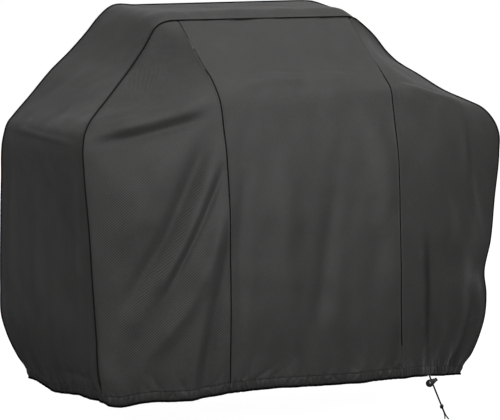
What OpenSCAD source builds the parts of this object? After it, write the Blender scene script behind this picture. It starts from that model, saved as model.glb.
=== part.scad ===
// Fitted fabric cover for a gas grill. Thin fabric panels are sewn into a box with sloping shoulders, the
// edges are piped, and a drawcord in the hem is pulled tight with a spring-loaded cord lock.
// Millimetres. X runs across, the front faces -Y and Z is up. The origin is in the middle of the underside
// of the flat top, where the cover rests on the grill.

/* [Overall size] */
// Width across the two shoulders
cover_w = 1474; // [1440:2:1560]
// Depth of each end at the shoulder
end_d = 620; // [600:5:660]
// Drop from the flat top to the hem at the front corners
hem_drop = 1180; // [1150:5:1220]

/* [Top and shoulders] */
// Width of the top along its front seam
top_front_w = 720; // [700:5:740]
// Width of the top along its back seam
top_back_w = 770; // [750:5:790]
// Depth of the top from seam to seam
top_d = 355; // [340:5:370]
// Drop from the flat top to its front seam
top_front_drop = 22; // [10:1:30]
// Drop from the flat top to the front of the shoulders
shoulder_drop = 352; // [340:2:370]

/* [Front] */
// Distance between the two long front seams
front_seam_w = 608; // [580:2:630]
// How far the front bends out past the top's front seam
hood_reach = 294; // [280:2:310]
// How far the belly of the front stands past the bend
belly_reach = 100; // [80:2:110]

/* [Fabric] */
// Thickness of the coated fabric
fabric_t = 1; // [0.8:0.1:1.2]
// Outer diameter of the piped edges
piping_d = 5.2; // [4.8:0.1:5.4]
// Width of the tape that seals each long front seam
tape_w = 16; // [12:1:20]
// Height of the tunnel in the hem
hem_h = 30; // [26:1:34]

/* [Drawcord] */
// Diameter of the drawcord
cord_d = 3; // [2.6:0.1:3.1]
// Length of cord between the hem and the knot
strand_len = 111; // [105:1:125]

/* [Cord lock] */
// Diameter of the lock's ball
ball_d = 25; // [24:0.5:26]
// Distance from the hem to the lock's middle
lock_at = 25; // [24:1:40]
// Travel of the button
press_travel = 3.5; // [3:0.1:3.8]

/* [Hidden] */
$fn = 48;

// Curves and joins
turn_steps = 4;
seam_gap = 4.6;
felled_gap = 1;
tape_gap = 0.8;
panel_hem_gap = 0.8;
strip_start = 8;

// Levels and depths
half_w = cover_w / 2;
top_y = top_d / 2;
back_y = top_y + 18;
end_front_y = back_y - end_d;
bend_y = -top_y - hood_reach;
belly_y = bend_y - belly_reach;
seam_x = front_seam_w / 2;
back_fall = 24;
hem_tuck = 84;
waist_tuck = 15;
waist_up = 170;
hem_lift = 38;
panel_drop = hem_drop - hem_h - panel_hem_gap;

// Corners of the front edge seam, from the middle of the top down to the hem
top_front = [0, -top_y, -top_front_drop];
corner_front = [top_front_w / 2, -top_y, -top_front_drop];
kink_front = [half_w - 240, -top_y + 2, -top_front_drop - 188];
shoulder_front = [half_w, end_front_y, -shoulder_drop];
waist_front = [half_w - waist_tuck, end_front_y + 5, waist_up - hem_drop];
middle_front = shoulder_front + 0.3 * (waist_front - shoulder_front);
hem_front = [half_w - hem_tuck, end_front_y + 40, -panel_drop];

// Corners of the back edge seam, in the same order
top_back = [0, top_y, 0];
corner_back = [top_back_w / 2, top_y, 0];
shoulder_back = [half_w, back_y, -shoulder_drop - back_fall];
kink_back = corner_back + 0.38 * (shoulder_back - corner_back);
waist_back = [half_w - waist_tuck, back_y - 5, waist_up - hem_drop - back_fall];
middle_back = shoulder_back + 0.3 * (waist_back - shoulder_back);
hem_back = [half_w - hem_tuck, back_y - 35, -panel_drop - back_fall];

// Corners of a long front seam, level with those of the front edge seam
long_top = [seam_x, -top_y, -top_front_drop];
long_bend = [seam_x + 2, bend_y, -top_front_drop - 188];
long_belly = [seam_x - 2, belly_y, -537];
long_waist = [seam_x, belly_y - 10, -900];
long_hem = [seam_x + 4, belly_y + 4, hem_lift - panel_drop];

// How far each corner is rounded, from the top to the hem
edge_round = [0, 55, 110, 50, 20, 80, 0];
long_round = [0, 20, 20, 60, 120, 100, 0];

// Hem tunnel, whose corners are the corners of the panels' lower edges
casing_t = 9;
hem_round = 40;
hem_up = [0, 0, hem_h + panel_hem_gap];
hem_side = hem_front - hem_up;
hem_mid = long_hem - hem_up;
hem_rear = hem_back - hem_up;
hem_dir = unit(hem_side - hem_mid);
exit_share = 0.455;
exit_at = mix(hem_mid, hem_side, exit_share);
patch_l = 30;
patch_gap = 0.3;
slit_l = 9;
slit_w = 7;
slit_depth = 3;
cord_joint = 0.8;
rim_w = 2;
rim_t = 1;

// Free cord and lock. The cord leans out by lean degrees from straight down.
lean = 25;
cord_dir = [sin(lean), 0, -cos(lean)];
cord_pitch = cord_d + 0.2;
cord_rest = fabric_t + cord_d / 2 + 0.4;
cord_sides = 8;
knot_r = 6.5;
knot_h = 12;
neck_r = 7.4;
neck_top = 11;
collar_r = 11;
collar_low = -2;
collar_high = 8;
bore_r = 4.6;
bore_floor = -14;
ball_z = -9.5;
plunger_fit = 0.08;
plunger_foot = -4.6;
head_r = 6;
head_h = 4;
slot_low = -4;
slot_high = cord_d / 2 + 0.25;
wire_d = 0.7;
spring_turns = 5;

// ---- Points and curves ----

function unit(v) = v / norm(v);
function mix(a, b, t) = a + (b - a) * t;
function mirrored(p) = [-p.x, p.y, p.z];
function reversed(list) = [for (i = [len(list) - 1:-1:0]) list[i]];
function clamp01(v) = max(0, min(1, v));

// A quadratic curve that rounds corner b on the way from a to c
function turn(a, b, c, reach) =
    let (p = b + unit(a - b) * reach, q = b + unit(c - b) * reach)
    [for (i = [0:turn_steps]) let (t = i / turn_steps) mix(mix(p, b, t), mix(b, q, t), t)];

// A path through the corners, each rounded by its own reach
function round_path(corners, reach) = concat(
    [corners[0]],
    [for (i = [1:len(corners) - 2]) each turn(corners[i - 1], corners[i], corners[i + 1], reach[i])],
    [corners[len(corners) - 1]]
);

// Right halves of the seams, from the top to the hem
front_edge = round_path([long_top, corner_front, kink_front, shoulder_front, middle_front, waist_front, hem_front],
                        edge_round);
back_edge = round_path([[seam_x, top_y, 0], corner_back, kink_back, shoulder_back, middle_back, waist_back, hem_back],
                       edge_round);
long_start = long_top + strip_start * unit(long_bend - long_top);
long_seam = round_path([long_start, mix(long_top, long_bend, 0.2), mix(long_top, long_bend, 0.55),
                        long_bend, long_belly, long_waist, long_hem], long_round);

// The whole of each edge seam, from the left hem over the top to the right hem
front_arch = concat([for (p = reversed(front_edge)) mirrored(p)], [top_front], front_edge);
back_arch = concat([for (p = reversed(back_edge)) mirrored(p)], [top_back], back_edge);

// A point in the hem at a distance along it from the cord's exit, raised from its lower edge
function near_exit(along, rise) = exit_at + along * hem_dir + [0, 0, rise];

// A point inside the tunnel at the exit, where across runs towards the back
function in_tunnel(along, across, rise) = near_exit(along, rise) + across * unit([-hem_dir.y, hem_dir.x, 0]);

// Middle of one strand at a distance down the free cord, where side is -1 at the front and 1 at the back
function strand_at(s, side) = exit_at + s * cord_dir + [0, side * cord_pitch / 2, 0];

// The hem's lower edge, from the patch round to the right and back to it
patch_end = patch_l / 2 + patch_gap;
hem_path = round_path([near_exit(patch_end, 0), hem_side, hem_rear, mirrored(hem_rear), mirrored(hem_side),
                       mirrored(hem_mid), hem_mid, near_exit(-patch_end, 0)],
                      [for (i = [0:7]) hem_round]);

// ---- Thin sheets ----

function flat_list(grid) = [for (row = grid) each row];
function grid_normal(g, i, j) =
    let (down = g[min(i + 1, len(g) - 1)][j] - g[max(i - 1, 0)][j],
         across = g[i][min(j + 1, len(g[0]) - 1)] - g[i][max(j - 1, 0)])
    unit(cross(down, across));
function lifted(g, height) =
    [for (i = [0:len(g) - 1]) [for (j = [0:len(g[0]) - 1]) g[i][j] + height * grid_normal(g, i, j)]];

// A sheet of fabric over a grid of points, which is its inner face. Rows run down the sheet and columns
// run to the right as seen from outside.
module sheet(grid) {
    rows = len(grid);
    cols = len(grid[0]);
    layer = rows * cols;
    rim = concat([for (j = [0:cols - 1]) j],
                 [for (i = [1:rows - 1]) i * cols + cols - 1],
                 [for (j = [cols - 2:-1:0]) (rows - 1) * cols + j],
                 [for (i = [rows - 2:-1:1]) i * cols]);
    cells = [for (i = [0:rows - 2], j = [0:cols - 2]) i * cols + j];
    inner = [for (a = cells) each [[a, a + cols, a + cols + 1], [a, a + cols + 1, a + 1]]];
    outer = [for (f = inner) [f[0] + layer, f[2] + layer, f[1] + layer]];
    wall = [for (k = [0:len(rim) - 1])
            let (a = rim[k], b = rim[(k + 1) % len(rim)])
            each [[a, b, b + layer], [a, b + layer, a + layer]]];
    polyhedron(concat(flat_list(grid), flat_list(lifted(grid, fabric_t))), concat(inner, outer, wall));
}

// A row of points from a to b that stops short of each by its own gap
function row(a, b, gap_a, gap_b, steps) =
    let (w = norm(b - a))
    [for (k = [0:steps]) mix(a, b, gap_a / w + (1 - (gap_a + gap_b) / w) * k / steps)];

// ---- Swept tubes ----

function heading(path, i) = unit(path[min(i + 1, len(path) - 1)] - path[max(i - 1, 0)]);
function ring(path, i, section, up) =
    let (along = heading(path, i), side = unit(cross(along, up)), rise = cross(side, along))
    [for (s = section) path[i] + s.x * side + s.y * rise];
function rings(path, section, up) = [for (i = [0:len(path) - 1]) ring(path, i, section, up)];
function round_section(r) = [for (k = [0:cord_sides - 1]) r * [cos(360 * k / cord_sides), sin(360 * k / cord_sides)]];
function around(first, count, m) = [
    for (i = [0:count - 2], j = [0:m - 1])
    let (a = first + i * m + j, b = first + i * m + (j + 1) % m)
    each [[a, b, b + m], [a, b + m, a + m]]
];
function turned(faces) = [for (f = faces) reversed(f)];
function annulus(outer, inner, m) = [
    for (j = [0:m - 1])
    let (k = (j + 1) % m)
    each [[outer + j, inner + j, inner + k], [outer + j, inner + k, outer + k]]
];

// A solid tube of the given section along a path
module solid_tube(path, section, up) {
    m = len(section);
    count = len(path);
    ends = [[for (j = [m - 1:-1:0]) j], [for (j = [0:m - 1]) (count - 1) * m + j]];
    polyhedron(flat_list(rings(path, section, up)), concat(around(0, count, m), ends));
}

// A hollow tube, open at both ends
module hollow_tube(path, outer, inner, up) {
    m = len(outer);
    count = len(path);
    core = count * m;
    last = (count - 1) * m;
    polyhedron(
        concat(flat_list(rings(path, outer, up)), flat_list(rings(path, inner, up))),
        concat(around(0, count, m), turned(around(core, count, m)),
               annulus(0, core, m), turned(annulus(last, core + last, m)))
    );
}

// ---- Fabric panels ----

function wing_grid(side) =
    let (inner_gap = felled_gap, outer_gap = seam_gap)
    [for (i = [1:len(front_edge) - 1])
     let (a = long_seam[i], b = front_edge[i])
     side > 0 ? row(a, b, inner_gap, outer_gap, 4)
              : [for (p = reversed(row(a, b, inner_gap, outer_gap, 4))) mirrored(p)]];

module front_centre_panel() {
    color("#3c3c3d")
    sheet([for (p = long_seam) row(mirrored(p), p, felled_gap, felled_gap, 4)]);
}

module front_wing(side) {
    color("#38383a")
    sheet(wing_grid(side));
}

// The back panel keeps clear of the piping all round, so each of its rows stops short and hangs lower
module back_panel() {
    color("#38383a")
    sheet([for (p = [for (i = [1:len(back_edge) - 1]) back_edge[i]])
           let (q = p - [0, 0, seam_gap * clamp01(1 + p.z / shoulder_drop)])
           row(q, mirrored(q), seam_gap, seam_gap, 4)]);
}

// Share of the way from the top's front seam to its flat part
crown_share = 0.28;

// Lift that makes the top flat behind its front seam, and fades out past its ends
function crown(p, u) =
    top_front_drop * clamp01((top_back_w / 2 + 100 - abs(p.x)) / 100)
    * (u < crown_share ? u * (1 / crown_share - 1) : 1 - u);

module side_and_top_strip() {
    color("#424243")
    sheet([for (i = [0:len(front_arch) - 1])
           let (a = front_arch[i], b = back_arch[i], w = norm(b - a))
           [for (s = [0, crown_share, 0.5, 0.75, 1])
            let (u = max(seam_gap / w, min(1 - seam_gap / w, s)), p = mix(a, b, u))
            p + [0, 0, crown(p, u)]]]);
}

// Waterproof tape bonded over the inside of a long front seam
module seam_tape(side) {
    half = tape_w / 2;
    grid = [for (i = [1:len(long_seam) - 1])
            let (p = long_seam[i],
                 inward = p - half * [1, 0, 0],
                 outward = p + half * unit(front_edge[i] - p))
            side > 0 ? [inward, p, outward] : [mirrored(outward), mirrored(p), mirrored(inward)]];
    color("#1c1c1e")
    sheet(lifted(grid, -fabric_t - tape_gap));
}

// ---- Piped edges ----

piping_wall = 1;
filler_gap = 0.2;

module piping_sleeve(path) {
    color("#161617")
    hollow_tube(path, round_section(piping_d / 2), round_section(piping_d / 2 - piping_wall), [0, 1, 0]);
}

module piping_filler(path) {
    color("#d8d8d4")
    solid_tube(path, round_section(piping_d / 2 - piping_wall - filler_gap), [0, 1, 0]);
}

// ---- Hem ----

function box_section(w, low, high) = [[w / 2, low], [w / 2, high], [-w / 2, high], [-w / 2, low]];

// A folded strip sewn on as a tunnel, whose two ends stop at the patch where the cord comes out
module hem_casing() {
    color("#262627")
    hollow_tube(hem_path, box_section(casing_t, 0, hem_h),
                box_section(casing_t - 2 * fabric_t, fabric_t, hem_h - fabric_t), [0, 0, 1]);
}

// Local X runs along the hem at the place where the cord comes out
module at_exit() {
    translate(exit_at)
    rotate([0, asin(-hem_dir.z), atan2(hem_dir.y, hem_dir.x)])
    children();
}

module block(l, w, low, high) {
    translate([-l / 2, -w / 2, low])
    cube([l, w, high - low]);
}

// A short piece of tunnel that joins the casing's ends, with a slit below for the two strands
module cord_exit_patch() {
    color("#262627")
    at_exit()
    difference() {
        block(patch_l, casing_t, 0, hem_h);
        block(patch_l + 2, casing_t - 2 * fabric_t, fabric_t, hem_h - fabric_t);
        block(slit_l, slit_w, -1, 2 * fabric_t);
    }
}

// Thread sewn round the slit as a buttonhole
module cord_exit_buttonhole() {
    color("#0c0c0c")
    at_exit()
    difference() {
        block(slit_l + 2 * rim_w, casing_t, -rim_t, 0);
        block(slit_l, slit_w, -rim_t - 1, 1);
    }
}

// The drawcord inside the tunnel, from one strand all the way round to the other
module hem_drawcord() {
    run = [for (i = [1:len(hem_path) - 2]) hem_path[i] + [0, 0, cord_rest]];
    path = concat(
        [strand_at(-slit_depth, 1), in_tunnel(1, 1.4, 7), in_tunnel(4, 1, 13)],
        [near_exit(11, 16), near_exit(20, 13), near_exit(36, 6)],
        run,
        [near_exit(-36, 6), near_exit(-22, 11), near_exit(-12, 12)],
        [strand_at(-8, -1), strand_at(-slit_depth, -1)]
    );
    color("#101010")
    solid_tube(path, round_section(cord_d / 2), [0, 0, 1]);
}

// ---- Cord lock: local Z is the way the button comes out, and local X is along the cord ----

module at_lock() {
    translate(exit_at + lock_at * cord_dir)
    rotate([0, 90 - lean, 0])
    children();
}

module cord_slot(low, high) {
    translate([-ball_d, -cord_pitch / 2 - slot_high, low])
    cube([2 * ball_d, cord_pitch + 2 * slot_high, high - low]);
}

module lock_barrel() {
    color("#1a1a1b")
    at_lock()
    difference() {
        union() {
            translate([0, 0, ball_z])
            sphere(d = ball_d);
            translate([0, 0, collar_low])
            cylinder(r1 = collar_r, r2 = neck_r, h = collar_high - collar_low);
            cylinder(r = neck_r, h = neck_top);
        }
        translate([0, 0, bore_floor])
        cylinder(r = bore_r, h = neck_top - bore_floor + 1);
        cord_slot(slot_low, slot_high);
    }
}

module lock_plunger() {
    color("#0e0e0f")
    at_lock()
    difference() {
        union() {
            translate([0, 0, plunger_foot])
            cylinder(r = bore_r - plunger_fit, h = neck_top + press_travel + 1 - plunger_foot);
            translate([0, 0, neck_top + press_travel + 0.5])
            cylinder(r = head_r, h = head_h);
        }
        cord_slot(-slot_high, slot_high + press_travel + 0.1);
    }
}

module lock_spring() {
    steps = 12;
    mean_r = bore_r - plunger_fit - wire_d;
    low = bore_floor + wire_d / 2 + 0.1;
    high = plunger_foot - wire_d / 2 - 0.1;
    path = [for (k = [0:spring_turns * steps])
            let (a = 360 * k / steps)
            [mean_r * cos(a), mean_r * sin(a), mix(low, high, k / (spring_turns * steps))]];
    color("#b8bcc0")
    at_lock()
    solid_tube(path, [for (k = [0:5]) wire_d / 2 * [cos(60 * k), sin(60 * k)]], [0, 0, 1]);
}

// ---- Free cord ----

knot_at = strand_len + knot_h / 2;

module cord_strand(side) {
    color("#101010")
    solid_tube([for (s = [cord_joint - slit_depth, 12, 26, 44, 66, 88, strand_len]) strand_at(s, side)],
               round_section(cord_d / 2), [0, 1, 0]);
}

module end_knot() {
    edge = 3;
    color("#101010")
    translate(exit_at + strand_len * cord_dir)
    rotate([0, 180 - lean, 0])
    rotate_extrude()
    polygon([[0, 0], [knot_r - edge, 0], [knot_r, edge], [knot_r, knot_h - edge], [knot_r - edge, knot_h],
             [0, knot_h]]);
}

// The cut ends spread a little below the knot and just reach the ground
tail_step = 10;
tail_spread = [0, 0, 0.3, 1.5, 4];

module cord_tail(side) {
    start = strand_len + knot_h;
    color("#101010")
    solid_tube([for (k = [0:4]) strand_at(start + tail_step * k, side) + side * tail_spread[k] * [-1, 1, 0]],
               round_section(cord_d / 2), [0, 1, 0]);
}

front_centre_panel();
front_wing(-1);  // front_left_panel
front_wing(1);  // front_right_panel
back_panel();
side_and_top_strip();
seam_tape(-1);  // left_seam_tape
seam_tape(1);  // right_seam_tape
piping_sleeve(front_arch);  // front_piping_sleeve
piping_filler(front_arch);  // front_piping_filler
piping_sleeve(back_arch);  // back_piping_sleeve
piping_filler(back_arch);  // back_piping_filler
hem_casing();
cord_exit_patch();
cord_exit_buttonhole();
hem_drawcord();
lock_barrel();
lock_plunger();
lock_spring();
cord_strand(-1);  // cord_strand_front
cord_strand(1);  // cord_strand_back
end_knot();
cord_tail(-1);  // cord_tail_front
cord_tail(1);  // cord_tail_back
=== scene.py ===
"""Looks of a fabric grill cover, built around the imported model. Metres, +Z up, the front faces -Y."""

from math import cos, pi, radians, sin

import bpy
import numpy as np
from mathutils import Matrix, Vector

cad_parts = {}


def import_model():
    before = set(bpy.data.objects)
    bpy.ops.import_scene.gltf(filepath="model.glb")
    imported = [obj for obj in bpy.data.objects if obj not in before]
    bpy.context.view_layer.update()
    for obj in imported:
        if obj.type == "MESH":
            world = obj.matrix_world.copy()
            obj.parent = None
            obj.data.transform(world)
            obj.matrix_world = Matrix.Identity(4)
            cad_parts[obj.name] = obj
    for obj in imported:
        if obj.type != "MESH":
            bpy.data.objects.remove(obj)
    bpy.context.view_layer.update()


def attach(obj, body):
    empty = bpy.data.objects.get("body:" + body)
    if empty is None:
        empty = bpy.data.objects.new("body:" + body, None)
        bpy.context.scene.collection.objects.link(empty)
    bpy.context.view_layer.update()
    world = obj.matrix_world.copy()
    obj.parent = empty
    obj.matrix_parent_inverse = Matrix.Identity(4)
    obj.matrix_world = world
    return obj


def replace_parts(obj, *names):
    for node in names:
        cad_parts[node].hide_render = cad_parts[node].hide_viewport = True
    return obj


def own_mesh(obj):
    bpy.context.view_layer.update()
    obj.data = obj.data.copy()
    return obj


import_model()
COVER = "cover"
LOCK = "cord_lock"

# ---- Camera ----

SENSOR = 36
LENS = 266.6
CAMERA_DISTANCE = 12
CAMERA_TARGET = Vector((-0.008, -0.115, -0.648))
AZIMUTH = radians(-26.27)
ELEVATION = radians(7.63)
ROLL = radians(1.0)
CLIP_START = 0.1
CLIP_END = 500


def place_camera():
    back = Vector((sin(AZIMUTH) * cos(ELEVATION), -cos(AZIMUTH) * cos(ELEVATION), sin(ELEVATION)))
    level = Vector((cos(AZIMUTH), sin(AZIMUTH), 0))
    right = Matrix.Rotation(ROLL, 3, back) @ level
    turn = Matrix((right, back.cross(right), back)).transposed()
    data = bpy.data.cameras.new("camera")
    data.lens = LENS
    data.sensor_width = SENSOR
    data.clip_start = CLIP_START
    data.clip_end = CLIP_END
    camera = bpy.data.objects.new("camera", data)
    camera.matrix_world = Matrix.Translation(CAMERA_TARGET + back * CAMERA_DISTANCE) @ turn.to_4x4()
    bpy.context.scene.collection.objects.link(camera)
    bpy.context.scene.camera = camera


place_camera()

# ---- Points and curves ----
# A grid is an array of rows of points. Rows run down the cloth, and columns run to the right as seen
# from outside, so that every grid's normals point outwards.

MM = 0.001
UP = np.array((0.0, 0.0, 1.0))


def unit(v):
    return v / np.maximum(np.linalg.norm(v, axis=-1, keepdims=True), 1e-12)


def ease(t):
    t = np.clip(t, 0, 1)
    return t * t * (3 - 2 * t)


def lengths(curve):
    steps = np.linalg.norm(np.diff(curve, axis=0), axis=1)
    return np.concatenate([[0], np.cumsum(steps)])


def through(points, step=3 * MM):
    """A smooth curve through the points, as a list of points about step apart."""
    p = np.array(points, float)
    h = np.linalg.norm(np.diff(p, axis=0), axis=1)[:, None]
    slope = np.diff(p, axis=0) / h
    inner = (slope[:-1] * h[1:] + slope[1:] * h[:-1]) / (h[:-1] + h[1:])
    tangent = np.vstack([slope[:1], inner, slope[-1:]])
    out = [p[:1]]
    for i in range(len(h)):
        t = np.linspace(0, 1, max(2, int(h[i, 0] / step)) + 1)[1:, None]
        late = t * t * (3 - 2 * t)
        leave = t * (1 - t) ** 2 * h[i] * tangent[i]
        arrive = t * t * (t - 1) * h[i] * tangent[i + 1]
        out.append((1 - late) * p[i] + late * p[i + 1] + leave + arrive)
    return np.vstack(out)


def metres(points):
    """An array in metres, from points in millimetres."""
    return np.array(points, float) / 1000


def sampled(curve, s, at):
    """Points of a curve at some places along it, where s gives the place of each of its own points."""
    return np.stack([np.interp(at, s, curve[:, k]) for k in range(3)], 1)


def spaced(curve, count):
    """The same curve as count points at equal distances."""
    s = lengths(curve)
    return sampled(curve, s, np.linspace(0, s[-1], count))


def spaced_at(points, across):
    """Points on the smooth curve through the points of a table, at the given shares of its length."""
    curve = through(metres(points))
    s = lengths(curve)
    return sampled(curve, s, across * s[-1])


def normals(grid):
    return unit(np.cross(np.gradient(grid, axis=0), np.gradient(grid, axis=1)))


def along_rows(grid):
    """Distance of each point from the left end of its row, along the cloth."""
    steps = np.linalg.norm(np.diff(grid, axis=1), axis=2)
    return np.concatenate([np.zeros((len(grid), 1)), np.cumsum(steps, 1)], 1)


# ---- Seams, as points on them in millimetres ----
# The cloth hangs a little differently on the two sides, so each side has its own points. They are given
# for the right side, from the top to the hem, and the left ones are mirrored.

UPPER_ROWS = 90
LOWER_ROWS = 150
TOP_ROWS = 110

FRONT_RIGHT = (
    (304, -178, -22), (325, -178, -28), (347, -178, -43), (396, -178, -84),
    (449, -179, -143), (480, -185, -171), (534, -230, -210), (590, -320, -259),
    (644, -375, -287), (680, -403, -307), (715, -423, -351), (731, -426, -390),
    (733, -426, -450), (721, -425, -600), (710, -425, -740), (690, -425, -845),
    (702, -420, -910), (703, -412, -990), (692, -402, -1050), (674, -384, -1115),
    (656, -370, -1158),
)
FRONT_LEFT = (
    (304, -178, -22), (335, -178, -23), (360, -178, -29), (382, -178, -43),
    (400, -178, -70), (420, -179, -103), (444, -183, -134), (485, -200, -177),
    (547, -250, -219), (603, -300, -254), (667, -355, -293), (712, -403, -323),
    (730, -422, -349), (736, -426, -382), (732, -427, -462), (713, -428, -649),
    (701, -430, -805), (686, -430, -975), (673, -430, -1120), (664, -430, -1153),
)
BACK_LEFT = (
    (304, 176, -1), (340, 176, 2), (360, 176, 2), (384, 176, -6),
    (419, 176, -34), (463, 178, -86), (520, 181, -147), (584, 184, -207),
    (655, 190, -289), (706, 194, -346), (729, 195, -374), (741, 195, -412),
    (748, 195, -560), (750, 193, -736), (749, 192, -900), (745, 190, -1000),
    (728, 182, -1060), (674, 160, -1174),
)
BACK_RIGHT = (
    (304, 176, 2), (350, 176, -1), (401, 176, -16), (443, 176, -31),
    (486, 177, -56), (530, 180, -110), (600, 186, -205), (670, 192, -300),
    (722, 195, -358), (735, 195, -385), (737, 195, -450), (732, 194, -640),
    (726, 193, -850), (718, 190, -1000), (700, 180, -1075), (655, 160, -1172),
)
LONG_LEFT = (
    (304, -178, -22), (305, -250, -68), (306, -360, -140), (306, -440, -190),
    (304, -485, -235), (303, -525, -345), (302, -567, -540), (301, -583, -740),
    (298, -585, -920), (289, -570, -1122),
)
LONG_RIGHT = (
    (304, -178, -22), (311, -245, -81), (315, -300, -125), (313, -360, -157),
    (312, -425, -197), (308, -472, -228), (303, -505, -300), (298, -540, -400),
    (294, -570, -560), (293, -582, -740), (299, -585, -920), (322, -570, -1116),
)
# The point of each seam's table where it turns down, counted from 0
FRONT_SHOULDER_RIGHT = 10
FRONT_SHOULDER_LEFT = 12
BACK_SHOULDER_RIGHT = 8
BACK_SHOULDER_LEFT = 10
LEFT_BEND = 4
RIGHT_BEND = 5

# The line where the panels meet the hem's tunnel, one part for each panel
HEM_LEFT_WING = (
    (-664, -430, -1153), (-655, -440, -1160), (-629, -452, -1165), (-552, -492, -1150),
    (-423, -540, -1143), (-289, -570, -1122),
)
HEM_CENTRE = (
    (-289, -570, -1122), (-193, -574, -1117), (11, -576, -1117), (164, -575, -1118),
    (225, -573, -1115), (322, -570, -1116),
)
HEM_RIGHT_WING = (
    (322, -570, -1116), (370, -545, -1118), (466.6, -487.3, -1129.3), (560, -424, -1145),
    (656, -370, -1158),
)
HEM_RIGHT_END = (
    (656, -370, -1158), (645, -250, -1160), (640, -80, -1170), (643, 60, -1174),
    (655, 160, -1172),
)
HEM_BACK = (
    (655, 160, -1172), (500, 166, -1168), (300, 163, -1173), (50, 168, -1167),
    (-250, 164, -1172), (-480, 167, -1170), (-674, 160, -1174),
)
HEM_LEFT_END = (
    (-674, 160, -1174), (-660, 100, -1181), (-650, 40, -1193), (-649, -100, -1182),
    (-651, -220, -1167), (-655, -330, -1162), (-664, -430, -1153),
)


def side_seam(points, split, mirror=1):
    """A seam from the top to the hem, in two parts that meet at the point numbered split."""
    points = metres(points)
    curve = through(points)
    k = np.argmin(np.linalg.norm(curve - points[split], axis=1))
    upper = spaced(curve[: k + 1], UPPER_ROWS)
    lower = spaced(curve[k:], LOWER_ROWS)
    return np.vstack([upper, lower[1:]]) * (mirror, 1, 1)


front_left = side_seam(FRONT_LEFT, FRONT_SHOULDER_LEFT, -1)
front_right = side_seam(FRONT_RIGHT, FRONT_SHOULDER_RIGHT)
back_left = side_seam(BACK_LEFT, BACK_SHOULDER_LEFT, -1)
back_right = side_seam(BACK_RIGHT, BACK_SHOULDER_RIGHT)
long_left = side_seam(LONG_LEFT, LEFT_BEND, -1)
long_right = side_seam(LONG_RIGHT, RIGHT_BEND)


def arch(left, right):
    """A whole edge seam, from the left hem over the top to the right hem."""
    top = spaced(np.array([left[0], right[0]]), TOP_ROWS)
    return np.vstack([left[::-1], top[1:-1], right])


front_arch = arch(front_left, front_right)
back_arch = arch(back_left, back_right)

# ---- Base shapes of the panels ----

COLUMN_STEP = 4.6 * MM
SEAM_COLUMNS = np.array((0, 1, 2, 3, 4.5, 6, 7.5, 8.5, 9.5, 11, 14)) * MM
EDGE_COLUMNS = np.array((0, 2.2, 3.5, 5, 7.5, 11)) * MM
WING_WIDTH = 0.46
CENTRE_WIDTH = 0.61
END_WIDTH = 0.60
BACK_WIDTH = 1.46
WING_BULGE = 20 * MM
WING_BULGE_START = 0.3
CENTRE_BULGE = 5 * MM
BACK_BULGE = 14 * MM
BULGE_FADE = 0.25
END_SAG = -7 * MM


def shares(width, first, last):
    """Where the columns lie across a panel, from 0 to 1, closer together beside the two seams."""
    inner = np.arange(first[-1], width - last[-1], COLUMN_STEP)[1:-1]
    return np.concatenate([first, inner, (width - last)[::-1]]) / width


def loft(a, b, across):
    """A grid of straight rows from the points of a to those of b."""
    return a[:, None] * (1 - across[:, None]) + b[:, None] * across[:, None]


def bulged(grid, across, height, start=0.0):
    """Pushes the middle of each row out by height, from the share start of the way down."""
    down = ease((np.linspace(0, 1, len(grid))[:, None] - start) / BULGE_FADE)
    lift = height * 4 * across * (1 - across) * down
    return grid + lift[..., None] * normals(grid)


LEFT_ACROSS = shares(WING_WIDTH, EDGE_COLUMNS, SEAM_COLUMNS)
CENTRE_ACROSS = shares(CENTRE_WIDTH, SEAM_COLUMNS, SEAM_COLUMNS)
RIGHT_ACROSS = shares(WING_WIDTH, SEAM_COLUMNS, EDGE_COLUMNS)
END_ACROSS = shares(END_WIDTH, EDGE_COLUMNS, EDGE_COLUMNS)
BACK_ACROSS = shares(BACK_WIDTH, EDGE_COLUMNS, EDGE_COLUMNS)
LEFT_SEAM = len(LEFT_ACROSS) - 1
RIGHT_SEAM = LEFT_SEAM + len(CENTRE_ACROSS) - 1

left_wing = loft(front_left, long_left, LEFT_ACROSS)
left_wing = bulged(left_wing, LEFT_ACROSS, WING_BULGE, WING_BULGE_START)
centre = bulged(loft(long_left, long_right, CENTRE_ACROSS), CENTRE_ACROSS, CENTRE_BULGE)
right_wing = loft(long_right, front_right, RIGHT_ACROSS)
right_wing = bulged(right_wing, RIGHT_ACROSS, WING_BULGE, WING_BULGE_START)
front = np.concatenate([left_wing, centre[:, 1:], right_wing[:, 1:]], 1)

back = bulged(loft(back_right, back_left, BACK_ACROSS), BACK_ACROSS, BACK_BULGE)

# The top is flat behind its front seam, which lies a little lower
CROWN_SHARE = 0.28
CROWN = 22 * MM
CROWN_HALF = 0.47
CROWN_FADE = 0.10
END_TOP = -0.42
END_FADE = 0.25


def crowned(grid):
    rise = np.where(END_ACROSS < CROWN_SHARE, ease(END_ACROSS / CROWN_SHARE) - END_ACROSS, 1 - END_ACROSS)
    rise = rise * ease((CROWN_HALF - np.abs(grid[..., 0])) / CROWN_FADE)
    return grid + CROWN * rise[..., None] * UP


def sagged_ends(grid):
    """Lets the two ends hang a little inwards between their seams."""
    low = ease((END_TOP - grid[..., 2]) / END_FADE)
    sag = END_SAG * 4 * END_ACROSS * (1 - END_ACROSS) * low
    return grid + sag[..., None] * normals(grid)


strip = sagged_ends(crowned(loft(front_arch, back_arch, END_ACROSS)))

# ---- Hem line ----

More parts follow.
